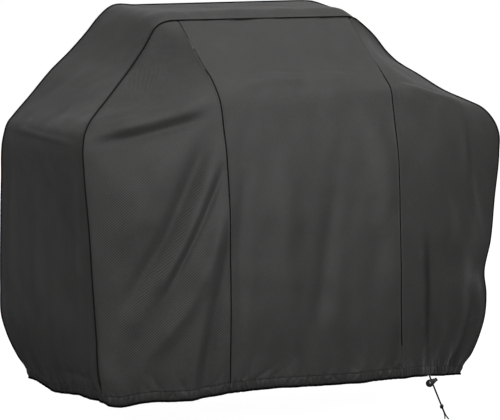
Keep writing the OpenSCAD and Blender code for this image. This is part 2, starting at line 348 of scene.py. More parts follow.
HANG_ROWS = 55
front_hem = np.vstack([
    spaced_at(HEM_LEFT_WING, LEFT_ACROSS),
    spaced_at(HEM_CENTRE, CENTRE_ACROSS)[1:],
    spaced_at(HEM_RIGHT_WING, RIGHT_ACROSS)[1:],
])
right_end_hem = spaced_at(HEM_RIGHT_END, END_ACROSS)
back_hem = spaced_at(HEM_BACK, BACK_ACROSS)
left_end_hem = spaced_at(HEM_LEFT_END[::-1], END_ACROSS)


def hang(grid, hem):
    """Bends the lowest rows of a grid so that the last one lies along the hem."""
    rows = len(grid)
    weight = ease((np.arange(rows) - (rows - HANG_ROWS)) / (HANG_ROWS - 1))
    grid += weight[:, None, None] * (hem - grid[-1])


hang(front, front_hem)
hang(back, back_hem)
hang(strip, right_end_hem)
hang(strip[::-1], left_end_hem)

# ---- Folds: each a path on the cloth, how far it stands out, and its half width, in millimetres ----

FRONT_FOLDS = (
    # left wing: the edge of the shelf below, from the shoulder across to the bend
    (((-728, -425, -358), (-684, -433, -342), (-529, -463, -307), (-300, -485, -245)), 17, 26),
    (((-720, -440, -375), (-600, -460, -354), (-450, -486, -320), (-310, -500, -285)), -9, 18),
    # left wing: three folds that hang from the bend at the long seam, out towards the left corner
    (((-400, -500, -320), (-518, -504, -469), (-586, -490, -614), (-656, -457, -747)), 11, 46),
    (((-310, -505, -280), (-432, -535, -514), (-495, -527, -662), (-566, -501, -797),
      (-650, -455, -1000)), -16, 30),
    (((-310, -515, -320), (-396, -550, -559), (-459, -541, -706), (-530, -516, -829),
      (-620, -470, -1000)), 13, 32),
    (((-295, -540, -400), (-354, -556, -533), (-404, -555, -642), (-447, -546, -733),
      (-520, -520, -880)), -12, 12),
    (((-295, -560, -500), (-368, -568, -736), (-428, -553, -871), (-512, -520, -997),
      (-600, -475, -1140)), 13, 30),
    # centre: the edge of the lid below, and soft folds that hang from it
    (((-290, -475, -235), (-230, -464, -210), (-137, -443, -193), (-1, -438, -192),
      (185, -437, -198), (297, -455, -214)), 12, 30),
    (((-102, -545, -360), (-115, -586, -710), (-120, -586, -1100)), 8, 42),
    (((-230, -548, -400), (-260, -575, -593), (-259, -587, -1000)), -6, 22),
    (((90, -545, -400), (34, -586, -716), (-10, -587, -1060)), -9, 32),
    (((176, -480, -230), (244, -545, -412), (260, -578, -632), (276, -582, -1050)), 10, 46),
    # right wing
    (((320, -440, -212), (339, -443, -216), (472, -431, -253), (630, -418, -300)), 10, 22),
    (((570, -430, -285), (577, -439, -301), (587, -479, -465), (636, -466, -700)), 5, 26),
    (((403, -495, -300), (464, -525, -520), (498, -523, -850)), 8, 60),
)
# Folds whose right side falls away, each a ridge with a valley to its right
FRONT_STEPS = (
    (((-300, -565, -540), (-334, -576, -736), (-356, -573, -856), (-385, -564, -1050),
      (-410, -550, -1450)), 9, 26),
)
# How far ridge and valley lie from the path, in half widths
STEP_ASIDE = 0.45
END_FOLDS = (
    (((-735, -368, -440), (-715, -336, -650), (-700, -325, -900)), 6, 24),
    (((-730, -250, -450), (-715, -230, -700), (-690, -220, -1000)), -6, 42),
    (((-740, -60, -470), (-730, -50, -750), (-700, -60, -1020)), 6, 50),
    (((-746, 116, -440), (-742, 128, -700), (-739, 140, -942)), 5, 26),
    (((-655, -60, -1140), (-660, -220, -1128), (-662, -390, -1125)), -9, 14),
    (((-736, 180, -384), (-737, -120, -383), (-736, -415, -381)), 4, 10),
    (((-560, -150, -240), (-640, -130, -310), (-720, -140, -370)), -6, 60),
    (((735, 180, -390), (735, -120, -388), (732, -415, -386)), 4, 10),
    (((730, -300, -440), (712, -290, -700), (690, -300, -960)), 7, 30),
    (((730, -150, -440), (715, -140, -720), (695, -160, -1020)), -8, 45),
    (((730, 30, -450), (715, 40, -700), (690, 20, -1000)), 7, 40),
    (((560, -150, -240), (640, -130, -310), (720, -140, -370)), -6, 60),
    (((-250, -80, 0), (0, -110, 0), (260, -70, 0)), 3, 40),
    (((-300, 60, 0), (-100, 40, 0), (200, 80, 0)), -3, 45),
)
BACK_FOLDS = (
    (((-420, 200, -300), (-470, 205, -700), (-450, 190, -1100)), 9, 45),
    (((-300, 200, -250), (-340, 205, -700), (-330, 190, -1100)), -7, 50),
    (((-120, 200, -350), (-160, 205, -750), (-140, 190, -1120)), 8, 45),
    (((40, 200, -300), (20, 205, -700), (30, 190, -1120)), -7, 50),
    (((200, 200, -250), (230, 205, -700), (220, 190, -1100)), 9, 45),
    (((700, 200, -400), (560, 205, -560), (420, 205, -820), (380, 190, -1050)), 10, 40),
    (((-710, 200, -420), (-600, 205, -600), (-560, 200, -900)), 9, 40),
    (((-680, 200, -380), (-300, 200, -330), (300, 200, -330), (680, 200, -390)), 6, 40),
)
# Places drawn in a darker tone, in place of shade or on top of it: path, how dark, half width in
# millimetres. Some lie over a fold, and some have none under them.
CREASES = (
    (((395, -562, -600), (412, -553, -851), (424, -541, -998), (438, -520, -1060),
      (450, -498, -1125), (465, -470, -1300)), 0.75, 15),
    (((640, -455, -880), (614, -440, -1002), (603, -414, -1090), (598, -402, -1145),
      (600, -360, -1300)), 0.85, 15),
    (((285, -585, -850), (290, -580, -1050), (296, -560, -1350)), 0.25, 16),
    (((-300, -565, -540), (-325, -576, -736), (-345, -573, -856), (-375, -564, -1050),
      (-405, -550, -1350)), 0.28, 20),
    (((-290, -495, -240), (-310, -505, -280), (-432, -535, -514), (-495, -527, -662),
      (-566, -501, -797)), 0.22, 26),
    (((588, -430, -290), (600, -482, -465), (648, -462, -700), (670, -440, -800)), 0.40, 11),
    (((655, -445, -740), (662, -438, -880), (666, -425, -1020)), 0.30, 28),
    (((-400, -500, -300), (-450, -497, -330), (-650, -450, -385), (-730, -430, -400)), 0.12, 16),
)
FOLD_STEP = 9 * MM
FOLD_FADE = 0.32
FOLD_REACH = 2.6
SEAM_FADE = 28 * MM
CRUMPLE_WAVES = 46
CRUMPLE = 0.20 * MM
# All random draws come from this one, in a fixed order
rng = np.random.default_rng(11)
wave_lengths = rng.uniform(0.055, 0.24, CRUMPLE_WAVES)
wave_turns = unit(rng.normal(size=(CRUMPLE_WAVES, 3))) * (2 * pi / wave_lengths)[:, None]
wave_starts = rng.uniform(0, 2 * pi, CRUMPLE_WAVES)


def fold_height(points, path, height, width):
    """How far one fold lifts each point. It fades out towards both ends of its path."""
    line = through(metres(path), FOLD_STEP)
    reach = FOLD_REACH * width
    inside = (points > line.min(0) - reach).all(1) & (points < line.max(0) + reach).all(1)
    near = np.linalg.norm(points[inside, None] - line[None], axis=2)
    k = near.argmin(1)
    along = k / (len(line) - 1)
    fade = ease(along / FOLD_FADE) * ease((1 - along) / FOLD_FADE)
    lift = np.zeros(len(points))
    lift[inside] = height * fade * np.exp(-(near.min(1) / width) ** 2)
    return lift


def crumple_height(points):
    """Small creases that the cloth keeps from having been folded up."""
    waves = np.sin(points @ wave_turns.T + wave_starts)
    return CRUMPLE * (waves * np.sqrt(wave_lengths / wave_lengths.mean())).sum(1)


def edge_distance(grid):
    """Distance along its row from each point to the nearer side seam."""
    s = along_rows(grid)
    return np.minimum(s, s[:, -1:] - s)


def stepped(folds):
    """The ridge and the valley of each fold that falls away to the right."""
    pairs = []
    for path, height, width in folds:
        aside = np.array((STEP_ASIDE * width, 0, 0))
        pairs.append((np.array(path) - aside, height, width))
        pairs.append((np.array(path) + aside, -height, width))
    return pairs


def folded(grid, folds):
    points = grid.reshape(-1, 3)
    lift = crumple_height(points)
    for path, height, width in folds:
        lift += fold_height(points, path, height * MM, width * MM)
    lift = lift.reshape(grid.shape[:2]) * ease(edge_distance(grid) / SEAM_FADE)
    return grid + lift[..., None] * normals(grid)


def crease_shade(grid):
    """How much darker the cloth is painted at each point of a grid, as shade in its creases, from 0 to 1."""
    points = grid.reshape(-1, 3)
    return sum(fold_height(points, path, dark, width * MM) for path, dark, width in CREASES)


front = folded(front, [*FRONT_FOLDS, *stepped(FRONT_STEPS)])
back = folded(back, BACK_FOLDS)
strip = folded(strip, END_FOLDS)

# ---- Gathers where the drawcord pulls the hem together ----
# The hem is one loop, measured from the left front corner to the right.

hem_parts = [front_hem, right_end_hem, back_hem, left_end_hem[::-1]]
part_starts = np.concatenate([[0], np.cumsum([lengths(p)[-1] for p in hem_parts])])
HEM_LENGTH = part_starts[-1]
# Where the drawcord pulls most: place along the hem in metres, how wide, how strongly
TIGHT_PLACES = (
    (0.44, 0.07, 1.0),
    (0.68, 0.035, 0.7),
    (0.97, 0.11, 1.0),
    (1.31, 0.05, 0.9),
    (2.60, 0.25, 0.7),
)
LOOSE_STRENGTH = 0.3
GATHER_STEP = 17 * MM
GATHER = 9.0 * MM
GATHER_RISE = 26 * MM
GATHER_ROWS = 90
GATHER_EDGE = 12 * MM
DRAPE = 3.0 * MM
DRAPE_RISE = 0.30
# Each a length along the hem in metres, and where its wave starts
DRAPES = ((0.21, 0.3), (0.13, 1.9), (0.083, 4.0))
gather_count = int(HEM_LENGTH / GATHER_STEP)
gather_places = (np.arange(gather_count) + rng.uniform(-0.35, 0.35, gather_count)) * GATHER_STEP
gather_widths = rng.uniform(4.5, 7.0, gather_count) * MM
gather_slants = rng.normal(0, 0.7, gather_count)
gather_rises = GATHER_RISE * rng.uniform(0.5, 1.6, gather_count)
gather_sizes = -GATHER * rng.uniform(0.4, 1.0, gather_count)
tightness = np.full(gather_count, LOOSE_STRENGTH)
for place, spread, strength in TIGHT_PLACES:
    tightness = np.maximum(tightness, strength * np.exp(-((gather_places - place) / spread) ** 2))
gather_sizes = gather_sizes * tightness


def gather(s, height):
    """How far the cloth stands out at the place s along the hem and that height over it."""
    s, height = np.broadcast_arrays(s, height)
    out = np.zeros(s.shape)
    up = np.maximum(height, 0)
    for place, width, slant, rise, size in zip(
        gather_places, gather_widths, gather_slants, gather_rises, gather_sizes
    ):
        spread = width * (1 + up / rise)
        off = (s - place - slant * height + HEM_LENGTH / 2) % HEM_LENGTH - HEM_LENGTH / 2
        out += size * np.exp(-((off / spread) ** 2) - up / rise)
    for wave, start in DRAPES:
        turns = round(HEM_LENGTH / wave)
        out += DRAPE / 2 * np.sin(2 * pi * turns * s / HEM_LENGTH + start) * np.exp(-up / DRAPE_RISE)
    return out


def outward(curve):
    """Level directions that point out of the hem's loop."""
    return unit(np.cross(np.gradient(curve, axis=0), UP))


def gathered(grid, places, directions):
    """Gathers the lowest rows of a grid, whose columns reach the hem at the places."""
    low = grid[-GATHER_ROWS:]
    heights = low[:, :, 2] - low[-1:, :, 2]
    edge = edge_distance(grid)[-GATHER_ROWS:]
    lift = gather(places[None], heights) * ease(edge / GATHER_EDGE)
    grid[-GATHER_ROWS:] += lift[..., None] * directions[None]


front_places = lengths(front_hem)
gathered(front, front_places, outward(front_hem))
right_places = part_starts[1] + lengths(right_end_hem)
gathered(strip, right_places, outward(right_end_hem))
back_places = part_starts[2] + lengths(back_hem)
gathered(back, back_places, outward(back_hem))
left_places = HEM_LENGTH - lengths(left_end_hem)
gathered(strip[::-1], left_places, -outward(left_end_hem))

# ---- Seam relief ----

FELL_HALF = 7.5 * MM
FELL_RISE = 0.7 * MM
FELL_BLEND = 0.8 * MM
FELL_GROOVE = 4.5 * MM
GROOVE_HALF = 1.7 * MM
GROOVE_END = 45 * MM


def groove_share(grid, seam):
    """How deep a seam lies at each row, from 1 down to 0 at the hem."""
    s = lengths(grid[:, seam])
    return ease((s[-1] - s) / GROOVE_END)


def felled(grid):
    """Raises the doubled cloth on both sides of the long seams, and sinks the seam between them."""
    s = along_rows(grid)
    lift = np.zeros(grid.shape[:2])
    for seam in (LEFT_SEAM, RIGHT_SEAM):
        d = np.abs(s - s[:, seam : seam + 1])
        lift += FELL_RISE * ease((FELL_HALF + FELL_BLEND - d) / (2 * FELL_BLEND))
        lift -= FELL_GROOVE * groove_share(grid, seam)[:, None] * np.exp(-((d / GROOVE_HALF) ** 2))
    return grid + lift[..., None] * normals(grid)


front = felled(front)

# ---- Materials ----

THREAD = 1.3 * MM
CHECK = 8.6 * MM
# How strongly the checks show on upright cloth, and on cloth that slopes
CHECK_CONTRAST = 0.85
SLOPE_CONTRAST = 0.15
SLOPE_SPAN = (0.25, 0.6)
# Painted shade in creases and puckers mixes towards the first grey; the second is the grey of dust
PAINTED_SHADE_GREY = 0.004
DUST_GREY = 0.30
# How far a surface has to turn before the weave is laid on it as on the ends or as on the top
END_SHARE = 1.3
END_LIMIT = 0.2
TOP_LIMIT = 0.92


class Nodes:
    """Short names for building the nodes of one material."""

    def __init__(self, name):
        self.material = bpy.data.materials.new(name)
        self.material.use_nodes = True
        self.tree = self.material.node_tree
        self.shader = self.tree.nodes["Principled BSDF"]

    def link(self, value, socket):
        if isinstance(value, bpy.types.NodeSocket):
            self.tree.links.new(value, socket)
        else:
            socket.default_value = value

    def math(self, operation, a, b=0.0):
        node = self.tree.nodes.new("ShaderNodeMath")
        node.operation = operation
        self.link(a, node.inputs[0])
        self.link(b, node.inputs[1])
        return node.outputs[0]

    def choose(self, share, a, b):
        """a where the share is 0 and b where it is 1."""
        rest = self.math("SUBTRACT", 1.0, share)
        return self.math("ADD", self.math("MULTIPLY", a, rest), self.math("MULTIPLY", b, share))

    def place(self):
        return self.tree.nodes.new("ShaderNodeTexCoord").outputs["Object"]

    def split(self, vector):
        node = self.tree.nodes.new("ShaderNodeSeparateXYZ")
        self.link(vector, node.inputs[0])
        return node.outputs

    def noise(self, scale, detail=3.0):
        node = self.tree.nodes.new("ShaderNodeTexNoise")
        self.link(self.place(), node.inputs["Vector"])
        node.inputs["Scale"].default_value = scale
        node.inputs["Detail"].default_value = detail
        return node.outputs["Fac"]

    def span(self, value, low, high, to_low=0.0, to_high=1.0):
        node = self.tree.nodes.new("ShaderNodeMapRange")
        self.link(value, node.inputs["Value"])
        for socket, v in zip(("From Min", "From Max", "To Min", "To Max"), (low, high, to_low, to_high)):
            node.inputs[socket].default_value = v
        return node.outputs["Result"]

    def mix(self, share, a, b):
        node = self.tree.nodes.new("ShaderNodeMixRGB")
        self.link(share, node.inputs["Fac"])
        self.link(a, node.inputs["Color1"])
        self.link(b, node.inputs["Color2"])
        return node.outputs["Color"]

    def bump(self, height, distance, strength, under=None):
        node = self.tree.nodes.new("ShaderNodeBump")
        node.inputs["Distance"].default_value = distance
        node.inputs["Strength"].default_value = strength
        self.link(height, node.inputs["Height"])
        if under is not None:
            self.link(under, node.inputs["Normal"])
        return node.outputs["Normal"]

    def finish(self, colour, roughness, normal, constants):
        self.link(colour, self.shader.inputs["Base Color"])
        self.link(roughness, self.shader.inputs["Roughness"])
        self.link(normal, self.shader.inputs["Normal"])
        for key, value in constants.items():
            self.shader.inputs[key].default_value = value
        return self.material


def grey(value, warm=0.0):
    return (value * (1 + warm), value, value * (1 - warm), 1)


def woven(name, dark, light, roughness=0.6, sheen=0.12, crumple=0.12, specular=0.42, dusty=0.05):
    """Coated Oxford cloth: a plain weave in small checks seen through its coating, and a little dusty."""
    n = Nodes(name)
    x, y, z = n.split(n.place())
    facing = n.split(n.tree.nodes.new("ShaderNodeNewGeometry").outputs["Normal"])
    towards_end = n.math("ABSOLUTE", facing[0])
    towards_front = n.math("MULTIPLY", n.math("ABSOLUTE", facing[1]), END_SHARE)
    sideways = n.math("GREATER_THAN", n.math("SUBTRACT", towards_end, towards_front), END_LIMIT)
    upwards = n.math("GREATER_THAN", n.math("ABSOLUTE", facing[2]), TOP_LIMIT)
    across = n.choose(sideways, x, y)
    along = n.choose(upwards, z, y)

    def checks(pitch):
        one = n.math("SINE", n.math("MULTIPLY", across, 2 * pi / pitch))
        other = n.math("SINE", n.math("MULTIPLY", along, 2 * pi / pitch))
        return n.math("MULTIPLY", one, other)

    weave = checks(THREAD)
    basket = checks(CHECK)
    mottle = n.noise(95.0, 3.0)
    tone = n.noise(5.0, 2.0)
    dust = n.noise(17.0, 5.0)
    share = n.math("ADD", n.math("MULTIPLY", weave, 0.10), n.span(mottle, 0.3, 0.7, 0.25, 0.55))
    contrast = n.span(n.math("ABSOLUTE", facing[2]), *SLOPE_SPAN, CHECK_CONTRAST, SLOPE_CONTRAST)
    share = n.math("ADD", share, n.math("MULTIPLY", basket, contrast))
    share = n.math("ADD", share, n.span(tone, 0.35, 0.65, -0.04, 0.06))
    # Painted shade: a point attribute darkens the cloth towards near-black in creases and puckers
    painted_shade_node = n.tree.nodes.new("ShaderNodeAttribute")
    painted_shade_node.attribute_name = "shade_paint"
    cloth = n.mix(painted_shade_node.outputs["Fac"], n.mix(share, dark, light), grey(PAINTED_SHADE_GREY))
    colour = n.mix(n.span(dust, 0.62, 0.85, 0.0, dusty), cloth, grey(DUST_GREY, 0.05))
    rough = n.span(mottle, 0.3, 0.7, roughness - 0.05, roughness + 0.05)
    rough = n.math("ADD", rough, n.math("MULTIPLY", basket, 0.05))
    soft = n.bump(n.noise(30.0, 4.0), 3 * MM, crumple)
    normal = n.bump(weave, 0.12 * MM, 0.6, n.bump(basket, 0.15 * MM, 0.5, soft))
    constants = {"Sheen Weight": sheen, "Sheen Roughness": 0.45, "Specular IOR Level": specular}
    return n.finish(colour, rough, normal, constants)


def moulded(name, dark, light, roughness):
    """Moulded plastic with a fine texture and rubbed high spots."""
    n = Nodes(name)
    grain = n.noise(900.0, 2.0)
    smear = n.noise(160.0, 4.0)
    colour = n.mix(n.span(smear, 0.35, 0.7), dark, light)
    rough = n.span(smear, 0.3, 0.7, roughness - 0.08, roughness + 0.10)
    normal = n.bump(grain, 0.05 * MM, 0.35)
    constants = {"Specular IOR Level": 0.7, "Coat Weight": 0.5, "Coat Roughness": 0.22}
    return n.finish(colour, rough, normal, constants)


def threads(name, dark, light, pitch, roughness=0.75, sheen=0.2, specular=0.3):
    """Twisted or braided yarn, with fibres across it."""
    n = Nodes(name)
    x, y, z = n.split(n.place())
    run = n.math("ADD", n.math("ADD", x, y), z)
    twist = n.math("SINE", n.math("MULTIPLY", run, 2 * pi / pitch))
    fuzz = n.noise(1500.0, 2.0)
    colour = n.mix(n.span(fuzz, 0.3, 0.7), dark, light)
    rough = n.span(fuzz, 0.3, 0.7, roughness - 0.1, roughness + 0.1)
    normal = n.bump(twist, 0.08 * MM, 0.5, n.bump(fuzz, 0.1 * MM, 0.4))
    return n.finish(colour, rough, normal, {"Sheen Weight": sheen, "Specular IOR Level": specular})


def steel(name):
    """Drawn wire with fine streaks."""
    n = Nodes(name)
    streak = n.noise(700.0, 3.0)
    colour = n.mix(n.span(streak, 0.3, 0.7), grey(0.50), grey(0.66))
    rough = n.span(streak, 0.3, 0.7, 0.22, 0.38)
    normal = n.bump(streak, 0.02 * MM, 0.3)
    return n.finish(colour, rough, normal, {"Metallic": 1.0})


cover_cloth = woven("cover_cloth", grey(0.020, 0.02), grey(0.062, 0.02))
hem_cloth = woven("hem_cloth", grey(0.018, 0.02), grey(0.042, 0.02))
piping_cloth = woven(
    "piping_cloth", grey(0.004), grey(0.011),
    roughness=0.7, sheen=0.0, crumple=0.15, specular=0.10, dusty=0.01,
)
# Near-black cloth that paints shade: on the hem's rolled edge and on the folds in the long seams' grooves
shade_black_cloth = woven(
    "shade_black_cloth", grey(0.002), grey(0.005),
    roughness=0.8, sheen=0.0, crumple=0.1, specular=0.03, dusty=0.0,
)
tape_film = moulded("tape_film", grey(0.02), grey(0.04), 0.35)
filler_yarn = threads("filler_yarn", grey(0.45, 0.05), grey(0.62, 0.05), 1.1 * MM)
sewing_thread = threads("sewing_thread", grey(0.035), grey(0.085), 0.5 * MM)
cord_yarn = threads(
    "cord_yarn", grey(0.003), grey(0.008), 1.0 * MM,
    roughness=0.8, sheen=0.02, specular=0.10,
)
lock_plastic = moulded("lock_plastic", grey(0.018), grey(0.030), 0.34)
button_plastic = moulded("button_plastic", grey(0.008), grey(0.014), 0.36)
spring_steel = steel("spring_steel")

# ---- Pieces ----


def piece(name, points, faces, material, slot, body=COVER):
    mesh = bpy.data.meshes.new(name)
    mesh.from_pydata(np.asarray(points).tolist(), [], [list(map(int, f)) for f in faces])
    mesh.polygons.foreach_set("use_smooth", [True] * len(mesh.polygons))
    mesh.materials.append(material)
    mesh.update()
    made = bpy.data.objects.new(name, mesh)
    bpy.context.scene.collection.objects.link(made)
    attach(made, body)
    return made


def paint_shade(made, values):
    """Gives each point of a piece its share of painted shade, a darker tone that stands in for shade."""
    made.data.attributes.new("shade_paint", "FLOAT", "POINT").data.foreach_set("value", values)


def grid_faces(rows, cols, wrap=False):
    """Four-sided faces between the points of a grid, in the order that makes them face outwards."""
    i, j = np.meshgrid(np.arange(rows - 1), np.arange(cols if wrap else cols - 1), indexing="ij")
    a = (i * cols + j).ravel()
    b = (i * cols + (j + 1) % cols).ravel()
    return np.stack([a, a + cols, b + cols, b], 1)


def shell(name, grid, thickness, material, slot):
    """A closed sheet of cloth, whose outer face is the grid."""
    rows, cols = grid.shape[:2]
    outer = grid.reshape(-1, 3)
    inner = (grid - thickness * normals(grid)).reshape(-1, 3)
    faces = grid_faces(rows, cols)
    layer = rows * cols
    k = np.arange(layer).reshape(rows, cols)
    rim = np.concatenate([k[0, :], k[1:, -1], k[-1, -2::-1], k[-2:0:-1, 0]])
    after = np.roll(rim, -1)
    wall = np.stack([rim, after, after + layer, rim + layer], 1)
    every = np.concatenate([faces, faces[:, ::-1] + layer, wall])
    return piece(name, np.concatenate([outer, inner]), every, material, slot)


def tube_rings(path, radius, sides):
    """Rings of points round a path. The radius is one number or one for each point of each ring."""
    path = np.asarray(path, float)
    along = unit(np.gradient(path, axis=0))
    across = np.zeros_like(path)
    start = np.cross(along[0], UP)
    if np.linalg.norm(start) < 0.1:
        start = np.cross(along[0], (0, 1, 0))
    across[0] = unit(start)
    for i in range(1, len(path)):
        across[i] = unit(across[i - 1] - along[i] * (across[i - 1] @ along[i]))
    rise = np.cross(across, along)
    angle = np.arange(sides) * 2 * pi / sides
    round_part = across[:, None] * np.cos(angle)[:, None] + rise[:, None] * np.sin(angle)[:, None]
    size = np.broadcast_to(radius, (len(path), sides))
    return path[:, None] + round_part * size[..., None]


TIP_SHARE = 0.35


def tube(name, path, radius, material, slot, sides=8, body=COVER):
    """A solid tube with rounded ends."""
    path = np.asarray(path, float)
    rings = tube_rings(path, radius, sides)
    along = unit(np.gradient(path, axis=0))
    tip = TIP_SHARE * float(np.mean(radius))
    first = len(rings) * sides
    last = first + 1
    low = first - sides
    faces = grid_faces(len(rings), sides, wrap=True).tolist()
    for j in range(sides):
        k = (j + 1) % sides
        faces.append((first, j, k))
        faces.append((last, low + k, low + j))
    ends = np.stack([path[0] - tip * along[0], path[-1] + tip * along[-1]])
    return piece(name, np.concatenate([rings.reshape(-1, 3), ends]), faces, material, slot, body)


# ---- Free cord ----

CORD_EXIT = np.array((0.464975, -0.484235, -1.15929))
CORD_LEAN = radians(25)
CORD_DIR = np.array((sin(CORD_LEAN), 0, -cos(CORD_LEAN)))
CORD_R = 2.1 * MM
CORD_OFFSET = 1.6 * MM
STRAND_TOP = -2.2 * MM
STRAND_END = 111 * MM
TAIL_START = 123 * MM
TAIL_STEP = 10 * MM
TAIL_SPREAD = np.array((0, 0, 0.3, 1.5, 4)) * MM
BRAID_STEP = 0.5 * MM
BRAID_PITCH = 4.4 * MM
BRAID_SIDES = 20
BRAID_STRANDS = 5
BRAID_RELIEF = 0.09
BRAID_MEAN = 0.6
CORD_ENDS = ((-1, "front"), (1, "back"))
SIDEWAYS = np.array((0.0, 1.0, 0.0))


def strand_at(s, side):
    """Middle of one strand at a distance down the free cord. Side is -1 at the front and 1 at the back."""
    return CORD_EXIT + s * CORD_DIR + side * CORD_OFFSET * SIDEWAYS


def braided(name, points):
    """A round braided cord along a smooth curve through the points, and that curve."""
    path = through(points, BRAID_STEP)
    turn = 2 * pi * lengths(path)[:, None] / BRAID_PITCH
    angle = np.arange(BRAID_SIDES)[None] * 2 * pi / BRAID_SIDES
    one_way = np.sin(BRAID_STRANDS * angle + turn)
    other_way = np.sin(BRAID_STRANDS * angle - turn)
    relief = np.maximum(one_way, other_way)
    radius = CORD_R * (1 + BRAID_RELIEF * (relief - BRAID_MEAN))
    return tube(name, path, radius, cord_yarn, "drawcord", BRAID_SIDES), path


STRAND_STOPS = (STRAND_TOP, 12 * MM, 26 * MM, 44 * MM, 66 * MM, 88 * MM, STRAND_END)
KNOT_TURNS = 1.75
KNOT_R = 4.6 * MM
KNOT_STEPS = 40
KNOT_GAP = 2.0 * MM
KNOT_START = (1.5 * MM, 1.2 * MM)
KNOT_OVER = 1.3 * MM
KNOT_TUCK = 1.0 * MM

strands = {}
for side, end in CORD_ENDS:
    strand, strand_path = braided(f"{end}_strand", [strand_at(s, side) for s in STRAND_STOPS])
    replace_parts(strand, f"cord_strand_{end}")
    tail_points = [
        strand_at(TAIL_START + TAIL_STEP * k, side) + side * spread * np.array((-1, 1, 0))
        for k, spread in enumerate(TAIL_SPREAD)
    ]
    tail, tail_path = braided(f"{end}_tail", tail_points)
    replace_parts(tail, f"cord_tail_{end}")
    strands[end] = (strand, strand_path, tail, tail_path, tail_points[0])


def knot_points():
    """The turns that the cord makes round its own straight strands, and the end that it tucks in."""
    outwards = np.cross(CORD_DIR, SIDEWAYS)
    low, high = STRAND_END + KNOT_GAP, TAIL_START - KNOT_GAP
    start_low, start_out = KNOT_START
    points = [CORD_EXIT + (low + start_low) * CORD_DIR + start_out * outwards]
    for k in range(KNOT_STEPS + 1):
        t = k / KNOT_STEPS
        angle = 2 * pi * KNOT_TURNS * t
        radial = cos(angle) * outwards + sin(angle) * SIDEWAYS
        points.append(CORD_EXIT + (low + (high - low) * t) * CORD_DIR + KNOT_R * radial)
    middle = CORD_EXIT + (low + high) / 2 * CORD_DIR
    points.append(middle - (KNOT_R + KNOT_OVER) * outwards - KNOT_TUCK * SIDEWAYS)
    points.append(CORD_EXIT + (low + KNOT_TUCK) * CORD_DIR + KNOT_TUCK * SIDEWAYS)
    return points


knot, _ = braided("end_knot_turns", knot_points())
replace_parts(knot, "end_knot")
knot_core = [
    braided(f"{end}_knot_core", [strand_at(STRAND_END, side), strand_at(TAIL_START, side)])[0]
    for side, end in CORD_ENDS
]

for end in ("front", "back"):
    strand, strand_path, tail, tail_path, tail_start = strands[end]

# ---- Cloth pieces ----

CLOTH = 1 * MM
# The wings' first rows are left out, because their seams start at one point
WING_TOP = 2

pieces = {
    "front_left_panel": front[WING_TOP:, : LEFT_SEAM + 1],
    "front_centre_panel": front[:, LEFT_SEAM : RIGHT_SEAM + 1],
    "front_right_panel": front[WING_TOP:, RIGHT_SEAM:],
    "back_panel": back,
    "side_and_top_strip": strip,
}
cloth = {}
for node, grid in pieces.items():
    cloth[node] = shell(f"{node}_cloth", grid, CLOTH, cover_cloth, "cover_fabric")
    # Painted shade in the creases, the same on the outer and the inner face
    paint_shade(cloth[node], np.tile(crease_shade(grid), 2))
    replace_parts(cloth[node], node)

# ---- Hem tunnel ----
# Its section is a list of points from the stitched top round the outside and back up, each given as
# how far it stands out of the panel and how far it lies below the panel's edge.

HEM_SECTION = np.array((
    (-0.3, 0.0), (-0.3, 1.0), (0.1, 2.6), (0.6, 6.0), (0.8, 12.0), (0.8, 18.0), (0.2, 23.0), (-1.2, 27.0),
    (-3.0, 29.4), (-4.6, 30.0), (-6.0, 29.0), (-6.9, 25.5), (-7.2, 18.0), (-7.0, 10.0), (-6.0, 4.0),
    (-4.0, 0.8), (-2.0, -0.4),
)) * MM
HEM_HEIGHT = 30 * MM
HEM_MIDDLE_IN = 3.5 * MM
HEM_BLEND = 4 * MM
HEM_STEP = 2.6 * MM
SLOPE_ROWS = 6
EXIT_SPREAD = 60 * MM
PATCH_HALF = 15 * MM
PATCH_GAP = 0.5 * MM
PUCKER = 8.0 * MM
PUCKER_STEP = 13 * MM
PUCKER_IN = 3.6 * MM
# How dark the deepest puckers are painted, as shade in their hollows
PUCKER_SHADE_PAINT = 1.6
PLAIN_SPAN = 12
FALL_SPAN = 30
FALL_SHARE = 0.6

hem_line = np.vstack([front[-1], strip[-1][1:], back[-1][1:], strip[0][::-1][1:]])
hem_s = lengths(hem_line)
loop_length = hem_s[-1]
hem_count = int(loop_length / HEM_STEP)
hem_places = np.arange(hem_count) * loop_length / hem_count
hem_loop = sampled(hem_line, hem_s, hem_places)


def smoothed(curve, span):
    """A closed curve averaged over span points, for a steady direction."""
    kernel = np.ones(span) / span
    padded = np.concatenate([curve[-span:], curve, curve[:span]])
    return np.stack([np.convolve(padded[:, k], kernel, "same")[span:-span] for k in range(3)], 1)


plain_loop = smoothed(hem_loop, PLAIN_SPAN)
patch_place = hem_places[np.argmin(np.linalg.norm(hem_loop - (CORD_EXIT + HEM_HEIGHT * UP), axis=1))]


def fall(rows):
    """The direction in which the cloth reaches the hem, at each point of the last of the rows."""
    return rows[-1] - rows[-SLOPE_ROWS]


falls = np.vstack([fall(front), fall(strip)[1:], fall(back)[1:], fall(strip[::-1])[::-1][1:]])
hem_down = smoothed(sampled(falls, hem_s, hem_places), FALL_SPAN)
at_exit = np.exp(-(((hem_places - patch_place) / EXIT_SPREAD) ** 2))[:, None]
to_exit = CORD_EXIT - hem_loop[np.argmin(np.abs(hem_places - patch_place))]
hem_down = unit(hem_down) * (FALL_SHARE, FALL_SHARE, 1)
hem_down = unit(hem_down * (1 - at_exit) + unit(to_exit) * at_exit)
closed = np.vstack([plain_loop[-1:], plain_loop, plain_loop[:1]])
hem_out = unit(np.cross(np.gradient(closed, axis=0)[1:-1], -hem_down))

pucker_count = int(loop_length / PUCKER_STEP)
pucker_places = (np.arange(pucker_count) + rng.uniform(-0.4, 0.4, pucker_count)) * PUCKER_STEP
pucker_sizes = PUCKER * rng.uniform(-1, 1, pucker_count)
pucker_slants = rng.normal(0, 0.8, pucker_count)
pucker_widths = rng.uniform(4.0, 6.0, pucker_count) * MM


